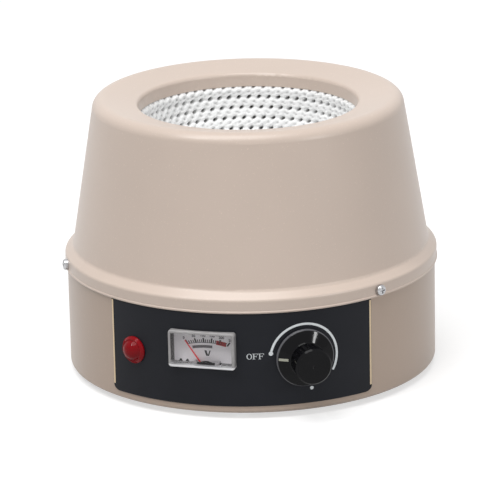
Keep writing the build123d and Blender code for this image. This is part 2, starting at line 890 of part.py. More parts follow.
def triac():
    """Flat power package stood on its legs, its tab towards the heat sink."""
    tab = Pos(0, (triac_deep - tab_thick) / 2, 0) * block(triac_w, tab_thick, tab_h, triac_h)
    part = block(triac_w, triac_deep, triac_h) + tab
    part -= Pos(0, 0, triac_h + tab_h / 2) * Rot(90, 0, 0) * Cylinder(tab_hole_r, 2 * triac_deep)
    for x in (-1, 0, 1):
        part += Pos(x * leg_pitch, 0, 0) * block(leg_wide, leg_thick, leg_long + hair, -leg_long)
    return on_board(triac_x, triac_y, leg_long) * part


def heat_sink():
    deep = sink_base / 2 + fin_out
    sink = block(sink_w, sink_base, sink_h)
    step = (sink_w - fin_thick) / (fins - 1)
    for i in range(fins):
        sink += Pos(i * step - (sink_w - fin_thick) / 2, deep / 2, 0) * block(fin_thick, deep, sink_h)
    return on_board(triac_x, triac_y + triac_deep / 2 + 2 * hair + sink_base / 2) * sink


def capacitor():
    can = fillet(slab(cap_w, cap_deep, cap_h, cap_round).edges().group_by(Axis.Z)[-1], cap_round * 0.9)
    return on_board(cap_x, cap_y) * can


def fuse_clips():
    clip = block(clip_w, clip_deep, clip_h)
    clip -= Pos(0, 0, clip_axis) * Rot(0, 90, 0) * Cylinder(fuse_r + slip, 2 * clip_w)
    clip -= block(2 * clip_w, clip_mouth, clip_h, clip_axis)
    reach = (fuse_long - fuse_cap) / 2
    return group([on_board(fuse_x + x * reach, fuse_y) * clip for x in (-1, 1)])


def fuse():
    body = Rot(0, 90, 0) * Cylinder(fuse_glass_r, fuse_long - 2 * fuse_cap)
    for x in (-1, 1):
        body += Pos(x * (fuse_long - fuse_cap) / 2, 0, 0) * Rot(0, 90, 0) * Cylinder(fuse_r, fuse_cap)
    return on_board(fuse_x, fuse_y, clip_axis) * body


def terminal_block():
    body = block(terminal_w, terminal_deep, terminal_h)
    for x in (-1, 0, 1):
        body -= Pos(x * way_pitch, 0, 0) * rod(way_screw_r, way_w, terminal_h - way_h)
        body -= Pos(x * way_pitch, -terminal_deep / 2, way_z) * Box(way_w, way_w, way_h)
    return on_board(terminal_x, terminal_y) * body


# ---------------------------------------------------------------- cord entry
def cable_gland():
    """Moulded cord entry: a flange saddled on the drum and a spigot through its wall."""
    seat = drum_r - sqrt(drum_r ** 2 - gland_flange_r ** 2)
    flange = rod(gland_flange_r, gland_flange_h + 2 * seat, -2 * seat)
    flange = gland_frame() * fillet(flange.edges().group_by(Axis.Z)[-1], gland_round)
    flange -= rod(drum_r + slip, drum_h, z_drum)
    spigot = gland_frame() * rod(gland_r, gland_inside + seat + sheet, -gland_inside - seat)
    return bored(flange + spigot, [gland_frame()], cord_hole_r)


def gland_nut():
    seat = drum_r - sqrt(inner_r ** 2 - gland_nut_r ** 2) + hair
    nut = hex_nut(gland_nut_r, gland_nut_h, gland_r + slip)
    return gland_frame() * Pos(0, 0, -seat - gland_nut_h) * nut


# ---------------------------------------------------------------- output
beige = (0.72, 0.64, 0.56)
steel = (0.70, 0.71, 0.72)
black = (0.05, 0.05, 0.06)
white = (0.93, 0.93, 0.91)

nodes = {
    "upper_housing": (upper_housing, beige),
    "base_drum": (base_drum, beige),
    "bottom_plate": (bottom_plate, steel),
    "partition_plate": (partition_plate, steel),
    "rubber_feet": (rubber_feet, black),
    "foot_screws": (foot_screws, steel),
    "base_screws": (base_screws, steel),
    "flange_screws": (flange_screws, steel),
    "control_panel": (control_panel, (0.08, 0.08, 0.09)),
    "heating_bag": (heating_bag, white),
    "heating_element": (heating_element, (0.75, 0.70, 0.60)),
    "insulation": (insulation, (0.80, 0.78, 0.70)),
    "inner_pot": (inner_pot, steel),
    "lead_bushings": (lead_bushings, white),
    "lamp_lens": (lamp_lens, (0.70, 0.02, 0.02)),
    "lamp_body": (lamp_body, black),
    "lamp_nut": (lamp_nut, steel),
    "neon_bulb": (neon_bulb, (0.90, 0.80, 0.75)),
    "meter_cover": (meter_cover, (0.80, 0.82, 0.84)),
    "meter_case": (meter_case, black),
    "meter_dial": (meter_dial, white),
    "meter_boss": (meter_boss, black),
    "meter_needle": (meter_needle, (0.70, 0.05, 0.05)),
    "meter_coil": (meter_coil, (0.70, 0.40, 0.20)),
    "meter_magnet": (meter_magnet, (0.35, 0.36, 0.38)),
    "knob": (knob, black),
    "knob_pointer": (knob_pointer, white),
    "knob_screw": (knob_screw, steel),
    "pot_shaft": (pot_shaft, steel),
    "pot_wiper": (pot_wiper, black),
    "pot_body": (pot_body, (0.25, 0.22, 0.18)),
    "pot_bushing": (pot_bushing, steel),
    "pot_washer": (pot_washer, steel),
    "pot_nut": (pot_nut, steel),
    "power_switch": (power_switch, black),
    "circuit_board": (circuit_board, (0.10, 0.35, 0.20)),
    "board_standoffs": (board_standoffs, steel),
    "board_screws": (board_screws, steel),
    "triac": (triac, black),
    "heat_sink": (heat_sink, steel),
    "capacitor": (capacitor, (0.75, 0.60, 0.15)),
    "fuse_clips": (fuse_clips, steel),
    "fuse": (fuse, (0.80, 0.82, 0.84)),
    "terminal_block": (terminal_block, white),
    "cable_gland": (cable_gland, black),
    "gland_nut": (gland_nut, black),
}

for name, (make, color) in nodes.items():
    save(make(), name, color)
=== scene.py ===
import math

import bmesh
import bpy
import numpy as np
from bpy.props import FloatProperty, FloatVectorProperty, IntProperty, PointerProperty
from mathutils import Euler, Matrix, Vector
from mathutils.geometry import tessellate_polygon


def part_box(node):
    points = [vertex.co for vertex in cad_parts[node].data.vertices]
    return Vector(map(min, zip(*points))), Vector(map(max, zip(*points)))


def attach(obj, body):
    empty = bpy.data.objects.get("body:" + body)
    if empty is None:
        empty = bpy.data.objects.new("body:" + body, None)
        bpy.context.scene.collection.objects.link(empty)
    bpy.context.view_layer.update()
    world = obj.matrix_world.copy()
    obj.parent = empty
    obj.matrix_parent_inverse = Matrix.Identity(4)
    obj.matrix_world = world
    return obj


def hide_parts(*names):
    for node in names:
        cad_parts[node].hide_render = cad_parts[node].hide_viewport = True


bl_info = {
    "name": "Heating mantle",
    "version": (1, 0, 0),
    "blender": (4, 5, 0),
    "location": "View3D > Sidebar > Mantle",
    "description": "Dresses a laboratory heating mantle and sets its stage",
    "category": "Object",
}

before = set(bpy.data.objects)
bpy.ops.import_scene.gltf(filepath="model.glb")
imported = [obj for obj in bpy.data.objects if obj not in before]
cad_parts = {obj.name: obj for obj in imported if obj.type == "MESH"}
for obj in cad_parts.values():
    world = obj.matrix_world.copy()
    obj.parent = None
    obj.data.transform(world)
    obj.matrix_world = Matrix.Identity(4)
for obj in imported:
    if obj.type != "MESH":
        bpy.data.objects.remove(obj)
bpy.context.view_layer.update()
MM = 0.001

# Places fixed by the solids, in metres.
DRUM_LOW, DRUM_HIGH = (Vector(c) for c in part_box("base_drum"))
BASE = DRUM_LOW.z
DRUM_R = DRUM_HIGH.x
BAG_HIGH = Vector(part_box("heating_bag")[1])
BAG_RIM = BAG_HIGH.z
BAG_WALL_R = BAG_HIGH.x
PANEL_R = DRUM_R + 0.3 * MM         # face of the film
INK_R = PANEL_R + 0.03 * MM         # face of the print on it

# Mesh of the knitted bag.
BAG_AROUND = 560                    # points round a ring of the knit
BAG_DOWN = 132                      # rings from the rim to the pole
BACK_ROWS = 24                      # rings of the plain back
BACK_STEP = 4                       # points of the knit to one of the back
POLE_IN = 0.2 * MM                  # smooth pole below the flask side

# Marks on the panel: angles in degrees round the knob, lengths in metres.
ARC_START, ARC_END, ARC_STEPS = 169.6, -30.2, 96
START_DOT_R = 0.75 * MM
END_DOT_AT, END_DOT_R = -78.0, 0.62 * MM
END_DOT_IN = 0.2 * MM               # inside the arc's radius
EDGE_TURN = math.radians(42.9)      # film's side edge from its middle
EDGE_IN, EDGE_WIDE = 0.42 * MM, 0.72 * MM
EDGE_FOOT, EDGE_TOP = 2.2 * MM, 0.4 * MM
EDGE_STEPS = 8

# Marks on the dial, in millimetres above or across from the needle's staff.
SCALE_STEPS, SCALE_WIDE = 48, 0.16
LONG_TICK, SHORT_TICK = (1.6, 0.55), (1.1, 0.32)    # height and width
LONG_EVERY = 4
MARKS_ACROSS = (-9.35, -7.05)
MARK_DOT_UP, MARK_DOT_R = 3.60, 0.42
MARK_FOOT, MARK_TOP, MARK_HALF = 3.10, 3.42, 0.65
UNIT_UP, UNIT_SIZE = 6.45, 1.9
NUMBER_UP, NUMBER_SIZE = 2.45, 1.25                 # over the scale line
BAND = (slice(5, 31), -1.35, 0.95)                  # part of the line, lift, width
RED_ZONE = (slice(35, 48), 0.35, 1.5)

# Stage: each light's place, width and share of the key light's power.
LIGHTS = {
    "top_light": ((-0.12, -0.36, 1.40), 1.1, 1.0),
    "left_light": ((-0.66, -0.64, 1.20), 0.12, 0.28),
    "right_light": ((1.18, -0.83, 0.57), 0.15, 0.20),
}
LIGHTS_AIM = (0, 0, 0.05)
FLOOR_HALF = 5.0
FLOOR_LIFT = 0.60                   # glow that the camera sees on the floor


# ---------------------------------------------------------------- sizes and colours
class MantleFinish(bpy.types.PropertyGroup):
    """Colours of the visible surfaces, and the bead on the skirt's edge."""

    paint: FloatVectorProperty(
        name="Paint", description="Baked enamel on housing and drum", subtype="COLOR",
        size=3, min=0.0, max=1.0, default=(0.612, 0.505, 0.434))
    # Painted shade: a darker copy of the housing's enamel, for the less light that falls on the drum's
    # upright wall below the skirt.
    drum: FloatVectorProperty(
        name="Drum paint", description="Slightly darker batch of the enamel, on the drum", subtype="COLOR",
        size=3, min=0.0, max=1.0, default=(0.448, 0.348, 0.280))
    film: FloatVectorProperty(
        name="Panel film", description="Dark film behind the printed marks", subtype="COLOR",
        size=3, min=0.0, max=1.0, default=(0.013, 0.014, 0.018))
    ink: FloatVectorProperty(
        name="Ink", description="Pale print on the panel", subtype="COLOR",
        size=3, min=0.0, max=1.0, default=(0.80, 0.84, 0.86))
    fibre: FloatVectorProperty(
        name="Glass fibre", description="Cord of the heating bag", subtype="COLOR",
        size=3, min=0.0, max=1.0, default=(0.91, 0.915, 0.915))
    lamp: FloatVectorProperty(
        name="Lamp", description="Moulded red lens", subtype="COLOR",
        size=3, min=0.0, max=1.0, default=(0.16, 0.0015, 0.004))
    dial: FloatVectorProperty(
        name="Dial", description="Enamel of the voltmeter's face", subtype="COLOR",
        size=3, min=0.0, max=1.0, default=(0.88, 0.85, 0.88))
    knob: FloatVectorProperty(
        name="Knob", description="Gloss black moulding", subtype="COLOR",
        size=3, min=0.0, max=1.0, default=(0.004, 0.004, 0.005))
    bead: FloatProperty(
        name="Hem bead", description="Radius of the bead along the skirt's lower edge", unit="LENGTH",
        default=0.45 * MM)


class BagSizes(bpy.types.PropertyGroup):
    """Knit of the heating bag."""

    inside: FloatProperty(
        name="Inside radius", description="Flask side of the bowl", unit="LENGTH", default=36.5 * MM)
    course: FloatProperty(
        name="Course", description="One ring of cord to the next", unit="LENGTH", default=3.55 * MM)
    stitch: FloatProperty(
        name="Stitch", description="One gap to the next round a ring", unit="LENGTH", default=3.4 * MM)
    hole: FloatProperty(
        name="Hole depth", description="Depth of an open gap", unit="LENGTH", default=3.2 * MM)
    dimple: FloatProperty(
        name="Dimple depth", description="Depth of a closed dimple", unit="LENGTH", default=0.6 * MM)
    groove: FloatProperty(
        name="Groove depth", description="Depth between two courses", unit="LENGTH", default=0.5 * MM)


class PrintSizes(bpy.types.PropertyGroup):
    """Marks printed on the control panel."""

    knob_bearing: FloatProperty(
        name="Knob bearing", description="Round the drum from the panel's middle", subtype="ANGLE",
        default=math.radians(20.0))
    knob_height: FloatProperty(
        name="Knob height", description="Above the drum's lower edge", unit="LENGTH", default=18.8 * MM)
    arc_radius: FloatProperty(
        name="Arc radius", description="Scale arc round the knob", unit="LENGTH", default=11.5 * MM)
    arc_width: FloatProperty(
        name="Arc width", description="Width of the scale arc", unit="LENGTH", default=0.80 * MM)
    word_bearing: FloatProperty(
        name="Word bearing", description="Middle of the word by the knob", subtype="ANGLE",
        default=math.radians(5.2))
    word_height: FloatProperty(
        name="Word height", description="Middle of the word above the drum's lower edge", unit="LENGTH",
        default=20.05 * MM)
    word_size: FloatProperty(
        name="Letter height", description="Height of the letters", unit="LENGTH", default=2.0 * MM)
    word_width: FloatProperty(
        name="Word width", description="Width of the whole word", unit="LENGTH", default=6.1 * MM)


class DialSizes(bpy.types.PropertyGroup):
    """Face of the voltmeter."""

    bearing: FloatProperty(
        name="Bearing", description="Round the drum from the panel's middle", subtype="ANGLE",
        default=math.radians(-10.8))
    height: FloatProperty(
        name="Height", description="Middle of the meter above the drum's lower edge", unit="LENGTH",
        default=22.15 * MM)
    cover_width: FloatProperty(
        name="Cover width", description="Clear cover", unit="LENGTH", default=22.8 * MM)
    cover_height: FloatProperty(
        name="Cover height", description="Clear cover", unit="LENGTH", default=12.75 * MM)
    cover_wall: FloatProperty(
        name="Cover wall", description="Its walls, seen as a pale frame", unit="LENGTH", default=1.0 * MM)
    staff_right: FloatProperty(
        name="Staff right", description="Needle's staff right of the middle", unit="LENGTH",
        default=1.2 * MM)
    staff_drop: FloatProperty(
        name="Staff drop", description="Needle's staff below the middle", unit="LENGTH",
        default=8.55 * MM)
    scale_height: FloatProperty(
        name="Scale height", description="Scale line above the staff", unit="LENGTH",
        default=10.1 * MM)
    scale_radius: FloatProperty(
        name="Scale radius", description="Bend of the flat scale line", unit="LENGTH",
        default=28.0 * MM)
    half_sweep: FloatProperty(
        name="Half sweep", description="Scale either side of upright", subtype="ANGLE",
        default=math.radians(36.0))
    steps: IntProperty(name="Steps", description="Fine divisions of the scale", default=20, min=5)


class StageSizes(bpy.types.PropertyGroup):
    """Floor, light and camera."""

    focal: FloatProperty(name="Focal length", description="Millimetres on a 36 mm sensor", default=252.0)
    distance: FloatProperty(
        name="Distance", description="Camera from the well's axis, level", unit="LENGTH", default=1.15533)
    height: FloatProperty(
        name="Height", description="Camera above the drum's lower edge", unit="LENGTH", default=0.39477)
    bearing: FloatProperty(
        name="Bearing", description="Camera round from the panel's middle", subtype="ANGLE",
        default=math.radians(4.55))
    pitch: FloatProperty(
        name="Pitch", description="Looking down", subtype="ANGLE", default=0.3002)
    roll: FloatProperty(
        name="Roll", description="Clockwise turn of the camera", subtype="ANGLE", default=0.0208)
    pan: FloatProperty(
        name="Pan", description="Turn of the camera to its left", subtype="ANGLE", default=0.0003)
    key: FloatProperty(name="Key light", description="Power of the large light overhead", subtype="POWER",
                       default=14.6)
    fill: FloatProperty(name="Ambient", description="Strength of the room light", default=0.345)


def finish():
    """Colours that the user has set."""
    return bpy.context.scene.mantle_finish


# ---------------------------------------------------------------- materials
def shader(name):
    """New material: its nodes, its links and its principled shader."""
    material = bpy.data.materials.new(name)
    material.use_nodes = True
    nodes = material.node_tree.nodes
    return material, nodes, material.node_tree.links, nodes["Principled BSDF"]


def noise(nodes, links, coords, scale, detail=3.0, rough=0.5, stretch=(1, 1, 1)):
    """Noise texture in object space, stretched along the axes asked for."""
    mapping = nodes.new("ShaderNodeMapping")
    mapping.inputs["Scale"].default_value = stretch
    links.new(coords.outputs["Object"], mapping.inputs["Vector"])
    texture = nodes.new("ShaderNodeTexNoise")
    texture.inputs["Scale"].default_value = scale
    texture.inputs["Detail"].default_value = detail
    texture.inputs["Roughness"].default_value = rough
    links.new(mapping.outputs["Vector"], texture.inputs["Vector"])
    return texture


def tint(nodes, links, factor, low, high):
    """Colour that runs from low to high over the middle part of a factor."""
    ramp = nodes.new("ShaderNodeValToRGB")
    for stop, position, color in zip(ramp.color_ramp.elements, (0.3, 0.7), (low, high)):
        stop.position = position
        stop.color = (*color, 1)
    links.new(factor, ramp.inputs["Fac"])
    return ramp.outputs["Color"]


def spread(nodes, links, factor, low, high):
    """Number that runs from low to high with a factor."""
    remap = nodes.new("ShaderNodeMapRange")
    remap.inputs["To Min"].default_value = low
    remap.inputs["To Max"].default_value = high
    links.new(factor, remap.inputs["Value"])
    return remap.outputs["Result"]


def ease(nodes, links, value, start, end):
    """Share that goes from 0 to 1 as a value goes from start to end."""
    remap = nodes.new("ShaderNodeMapRange")
    remap.inputs["From Min"].default_value = start
    remap.inputs["From Max"].default_value = end
    links.new(value, remap.inputs["Value"])
    return remap.outputs["Result"]


def blend(nodes, links, share, base, over):
    """Colour that turns from base to a plain one as a share goes to 1."""
    mix = nodes.new("ShaderNodeMix")
    mix.data_type = "RGBA"
    mix.inputs["B"].default_value = (*over, 1)
    links.new(share, mix.inputs["Factor"])
    links.new(base, mix.inputs["A"])
    return mix.outputs["Result"]


def repaint(material, share, over):
    """Lays another colour over a finish where a share is 1."""
    nodes, links = material.node_tree.nodes, material.node_tree.links
    base = nodes["Principled BSDF"].inputs["Base Color"]
    links.new(blend(nodes, links, share, base.links[0].from_socket, over), base)


def vector_math(nodes, links, operation, vector, other=None):
    """Vector math on a vector, with a plain one where it takes two."""
    step = nodes.new("ShaderNodeVectorMath")
    step.operation = operation
    links.new(vector, step.inputs[0])
    if other is not None:
        step.inputs[1].default_value = other
    return step


def stored(nodes, name):
    """Number kept on the points of a mesh."""
    attribute = nodes.new("ShaderNodeAttribute")
    attribute.attribute_name = name
    return attribute.outputs["Fac"]


def emboss(nodes, links, height, distance, strength, into, under=None):
    """Bump from a height, on top of another bump if there is one."""
    bump = nodes.new("ShaderNodeBump")
    bump.inputs["Distance"].default_value = distance
    bump.inputs["Strength"].default_value = strength
    links.new(height, bump.inputs["Height"])
    if under is not None:
        links.new(under.outputs["Normal"], bump.inputs["Normal"])
    links.new(bump.outputs["Normal"], into.inputs["Normal"])
    return bump


def shade(color, share):
    """Colour times a share, held at white."""
    return tuple(min(1.0, c * share) for c in color)


def moulded(name, color, rough, spec=0.5, vary=0.12, grain=900.0, depth=0.02, metal=0.0,
            stretch=(1, 1, 1), patch=60.0):
    """Even finish with faint patches of tone and sheen, and a fine grain."""
    material, nodes, links, bsdf = shader(name)
    coords = nodes.new("ShaderNodeTexCoord")
    patches = noise(nodes, links, coords, patch, 4.0, 0.6, stretch)
    fine = noise(nodes, links, coords, grain, 2.0, 0.5, stretch)
    colour = tint(nodes, links, patches.outputs["Fac"], shade(color, 1 - vary), shade(color, 1 + vary))
    links.new(colour, bsdf.inputs["Base Color"])
    links.new(spread(nodes, links, fine.outputs["Fac"], rough * 0.8, min(1.0, rough * 1.25)),
              bsdf.inputs["Roughness"])
    bsdf.inputs["Metallic"].default_value = metal
    bsdf.inputs["Specular IOR Level"].default_value = spec
    emboss(nodes, links, fine.outputs["Fac"], depth * MM, 0.5, bsdf)
    return material


def baked_paint(name, color):
    """Satin enamel: broad tone drift, orange peel and a few pale dust specks."""
    material, nodes, links, bsdf = shader(name)
    coords = nodes.new("ShaderNodeTexCoord")
    drift = noise(nodes, links, coords, 14.0, 3.0, 0.55)
    peel = noise(nodes, links, coords, 520.0, 2.0, 0.5)
    specks = noise(nodes, links, coords, 1900.0, 1.0, 0.4)
    base = tint(nodes, links, drift.outputs["Fac"], shade(color, 0.965), shade(color, 1.035))
    grains = ease(nodes, links, specks.outputs["Fac"], 0.66, 0.80)
    links.new(blend(nodes, links, grains, base, shade(color, 1.12)), bsdf.inputs["Base Color"])
    links.new(spread(nodes, links, drift.outputs["Fac"], 0.30, 0.38), bsdf.inputs["Roughness"])
    bsdf.inputs["Specular IOR Level"].default_value = 0.5
    emboss(nodes, links, peel.outputs["Fac"], 0.03 * MM, 0.35, bsdf)
    return material


def knitted_fibre():
    """White glass-fibre cord: twisted yarn, stray fibres, and painted shade in the gaps, dimples and
    grooves.
    """
    color = tuple(finish().fibre)
    material, nodes, links, bsdf = shader("knitted_fibre")
    coords = nodes.new("ShaderNodeTexCoord")
    tone = noise(nodes, links, coords, 260.0, 4.0, 0.6)
    fuzz = noise(nodes, links, coords, 2600.0, 3.0, 0.65)
    white = tint(nodes, links, tone.outputs["Fac"], shade(color, 0.93), color)
    # Painted shade: the cord turns near black where the 'depth' layer marks gaps, dimples and grooves.
    shadowed = blend(nodes, links, stored(nodes, "depth"), white, (0.11, 0.11, 0.105))
    links.new(shadowed, bsdf.inputs["Base Color"])
    bsdf.inputs["Roughness"].default_value = 0.82
    bsdf.inputs["Specular IOR Level"].default_value = 0.25
    bsdf.inputs["Sheen Weight"].default_value = 0.25
    yarn = emboss(nodes, links, stored(nodes, "ply"), 0.14 * MM, 0.45, bsdf)
    emboss(nodes, links, fuzz.outputs["Fac"], 0.08 * MM, 0.4, bsdf, under=yarn)
    return material


def spun_zinc(name="bright_zinc", color=(0.46, 0.46, 0.47), rough=0.24):
    """Plated steel: fine lines along one way, faint clouds of tone."""
    return moulded(name, color, rough, vary=0.10, grain=1400.0, depth=0.015, metal=1.0,
                   stretch=(1, 1, 6), patch=180.0)


def clear_moulding(name, color):
    """Clear styrene: sees through, with faint flow marks in its gloss."""
    material, nodes, links, bsdf = shader(name)
    coords = nodes.new("ShaderNodeTexCoord")
    flow = noise(nodes, links, coords, 90.0, 2.0, 0.5)
    links.new(tint(nodes, links, flow.outputs["Fac"], shade(color, 0.97), color), bsdf.inputs["Base Color"])
    links.new(spread(nodes, links, flow.outputs["Fac"], 0.035, 0.07), bsdf.inputs["Roughness"])
    bsdf.inputs["Transmission Weight"].default_value = 1.0
    bsdf.inputs["IOR"].default_value = 1.49
    emboss(nodes, links, flow.outputs["Fac"], 0.02 * MM, 0.2, bsdf)
    return material


def axis_distance(nodes, links, coords, place, axis):
    """Distance of a point from a plane through a place, square to an axis."""
    move = vector_math(nodes, links, "SUBTRACT", coords.outputs["Object"], place)
    along = vector_math(nodes, links, "DOT_PRODUCT", move.outputs["Vector"], axis)
    size = nodes.new("ShaderNodeMath")
    size.operation = "ABSOLUTE"
    links.new(along.outputs["Value"], size.inputs[0])
    return size.outputs["Value"]


def framed_cover(place, sizes):
    """Clear moulding whose walls, seen end on, make a pale milky frame round a see-through window, with a
    painted highlight along the frame's foot.
    """
    material, nodes, links, bsdf = shader("clear_cover")
    coords = nodes.new("ShaderNodeTexCoord")
    wall = sizes.cover_wall
    turn = place.to_3x3()
    either = nodes.new("ShaderNodeMath")
    either.operation = "MAXIMUM"
    for axis, half in enumerate((sizes.cover_width / 2, sizes.cover_height / 2)):
        far = axis_distance(nodes, links, coords, place.translation, turn.col[axis])
        links.new(ease(nodes, links, far, half - wall * 1.05, half - wall * 0.85), either.inputs[axis])
    links.new(spread(nodes, links, either.outputs["Value"], 0.05, 0.92), bsdf.inputs["Alpha"])
    flow = noise(nodes, links, coords, 400.0, 2.0, 0.5)
    grey = tint(nodes, links, flow.outputs["Fac"], (0.33, 0.32, 0.32), (0.39, 0.38, 0.38))
    # Painted highlight: the wall along the cover's foot is turned near white.
    up = turn.col[1]
    foot = axis_distance(nodes, links, coords, place.translation - up * sizes.cover_height / 2, up)
    bright = ease(nodes, links, foot, wall * 1.2, wall * 0.9)
    links.new(blend(nodes, links, bright, grey, (0.92, 0.92, 0.94)), bsdf.inputs["Base Color"])
    bsdf.inputs["Roughness"].default_value = 0.12
    bsdf.inputs["Specular IOR Level"].default_value = 0.3
    return material


def lamp_red(middle, radius):
    """Deep red lens: painted shade over the bulb in its middle, and painted light of a clearer red round
    its rim.
    """
    color = tuple(finish().lamp)
    material, nodes, links, bsdf = shader("lamp_red")
    coords = nodes.new("ShaderNodeTexCoord")
    mass = noise(nodes, links, coords, 220.0, 2.0, 0.5)
    # Painted light and shade: the rim is a lighter red for light shining through the lens, the middle
    # darker.
    across = vector_math(nodes, links, "DISTANCE", coords.outputs["Object"], middle)
    rim = ease(nodes, links, across.outputs["Value"], radius * 0.55, radius * 0.95)
    deep = tint(nodes, links, mass.outputs["Fac"], shade(color, 0.45), shade(color, 0.75))
    links.new(blend(nodes, links, rim, deep, shade(color, 1.6)), bsdf.inputs["Base Color"])
    links.new(spread(nodes, links, mass.outputs["Fac"], 0.05, 0.09), bsdf.inputs["Roughness"])
    bsdf.inputs["Specular IOR Level"].default_value = 0.11
    emboss(nodes, links, mass.outputs["Fac"], 0.02 * MM, 0.2, bsdf)
    return material


def printed(name, color):
    """Screen-printed ink: slight mottle of tone and sheen."""
    return moulded(name, color, 0.55, spec=0.35, vary=0.04, grain=2400.0, depth=0.01, patch=900.0)


def dress(node, material):
    """Gives a carried-over solid its finish."""
    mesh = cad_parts[node].data
    mesh.materials.clear()
    mesh.materials.append(material)


# ---------------------------------------------------------------- meshes
def mesh_piece(name, verts, faces, material, slot, body="housing", smooth=True):
    """Mesh object that rides on a body and takes the finish it is given."""
    mesh = bpy.data.meshes.new(name)
    mesh.from_pydata([tuple(v) for v in verts], [], faces)
    mesh.update()
    for face in mesh.polygons:
        face.use_smooth = smooth
    mesh.materials.append(material)
    piece = bpy.data.objects.new(name, mesh)
    bpy.context.scene.collection.objects.link(piece)
    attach(piece, body)
    return piece


def on_drum(x, y, bearing, height, radius=INK_R):
    """Point of the wrapped panel: x along the arc and y up, from a bearing and height."""
    angle = bearing + x / radius
    return Vector((radius * math.sin(angle), -radius * math.cos(angle), height + y))


def facing(bearing, radius, height):
    """Flat frame that looks outward at a bearing: x right, y up, z out."""
    return (Matrix.Rotation(bearing, 4, "Z") @ Matrix.Translation((0, -radius, height))
            @ Matrix.Rotation(math.radians(90), 4, "X"))


def strip(points, width):
    """Ribbon of a given width along a line of 2-D points, as loops of four."""
    loops = []
    edge = []
    for i, p in enumerate(points):
        a = Vector(points[max(i - 1, 0)])
        b = Vector(points[min(i + 1, len(points) - 1)])
        side = (b - a).normalized().orthogonal() * width / 2
        edge.append((Vector(p) + side, Vector(p) - side))
    for (a, b), (c, d) in zip(edge, edge[1:]):
        loops.append([a, b, d, c])
    return loops


def ring(cx, cy, rx, ry, hole_x, hole_y, count=28):
    """Elliptic letter bowl as loops of four."""
    loops = []
    for i in range(count):
        a0, a1 = (2 * math.pi * k / count for k in (i, i + 1))
        corners = ((rx, ry, a0), (rx, ry, a1), (hole_x, hole_y, a1), (hole_x, hole_y, a0))
        loops.append([Vector((cx + x * math.cos(a), cy + y * math.sin(a))) for x, y, a in corners])
    return loops


def disc(cx, cy, r, count=20):
    """Round dot as one loop."""
    turns = [2 * math.pi * i / count for i in range(count)]
    return [[Vector((cx + r * math.cos(t), cy + r * math.sin(t))) for t in turns]]


def bar(x0, y0, x1, y1):
    """Upright rectangle as one loop."""
    return [[Vector((x0, y0)), Vector((x1, y0)), Vector((x1, y1)), Vector((x0, y1))]]


def arc_points(cx, cy, r, start, end, count):
    """2-D arc, angles in degrees, either way round."""
    turns = [math.radians(start + (end - start) * i / count) for i in range(count + 1)]
    return [(cx + r * math.cos(t), cy + r * math.sin(t)) for t in turns]


def ink_piece(name, loops, place, material, slot):
    """Flat print: each 2-D loop is filled and laid on a surface by place."""
    verts, faces = [], []
    for loop in loops:
        base = len(verts)
        verts += [place(p.x, p.y) for p in loop]
        for tri in tessellate_polygon([[Vector((p.x, p.y, 0)) for p in loop]]):
            faces.append([base + i for i in tri])
    piece = mesh_piece(name, verts, faces, material, slot, smooth=False)
    work = bmesh.new()
    work.from_mesh(piece.data)
    bmesh.ops.remove_doubles(work, verts=work.verts, dist=1e-7)
    bmesh.ops.recalc_face_normals(work, faces=work.faces)
    work.to_mesh(piece.data)
    work.free()
    return piece


def lathe(name, profile, material, slot, count):
    """Closed profile of (radius, height) spun about the axis."""
    verts, faces = [], []
    rows = len(profile)
    for i in range(count):
        turn = 2 * math.pi * i / count
        verts += [(r * math.cos(turn), r * math.sin(turn), z) for r, z in profile]
    for i in range(count):
        j = (i + 1) % count
        for k in range(rows):
            m = (k + 1) % rows
            faces.append([i * rows + k, j * rows + k, j * rows + m, i * rows + m])
    return mesh_piece(name, verts, faces, material, slot)


def ring_quads(start, rows, count):
    """Quads between rings of points that follow one another from start."""
    faces = []
    for i in range(rows):
        a, b = start + i * count, start + (i + 1) * count
        for j in range(count):
            k = (j + 1) % count
            faces.append([a + j, b + j, b + k, a + k])
    return faces


def bell(*terms):
    """1 where every (distance, width) has no distance, falling off around."""
    return np.exp(-sum((far / wide) ** 2 for far, wide in terms))


# ---------------------------------------------------------------- pieces
class MANTLE_OT_housing(bpy.types.Operator):
    """Paint the spun housing and the drum"""

    bl_idname = "mantle.housing"
    bl_label = "Housing"

    def execute(self, context):
        paint = baked_paint("housing_paint", tuple(finish().paint))
        dress("upper_housing", paint)
        # Painted shade: the drum takes a darker copy of the housing's enamel, for the less light that falls
        # on its upright wall.
        dress("base_drum", baked_paint("drum_paint_painted_shade", tuple(finish().drum)))
        self.hem_roll(paint)
        return {"FINISHED"}

    def hem_roll(self, paint):
        """Small bead rolled along the lower edge of the skirt."""
        bead = finish().bead
        low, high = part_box("upper_housing")
        sunk = 0.8 * bead
        turns = [2 * math.pi * i / 16 for i in range(16)]
        profile = [(high[0] - sunk + bead * math.cos(t), low[2] + sunk + bead * math.sin(t)) for t in turns]
        lathe("hem_roll", profile, paint, "body_paint", 256)


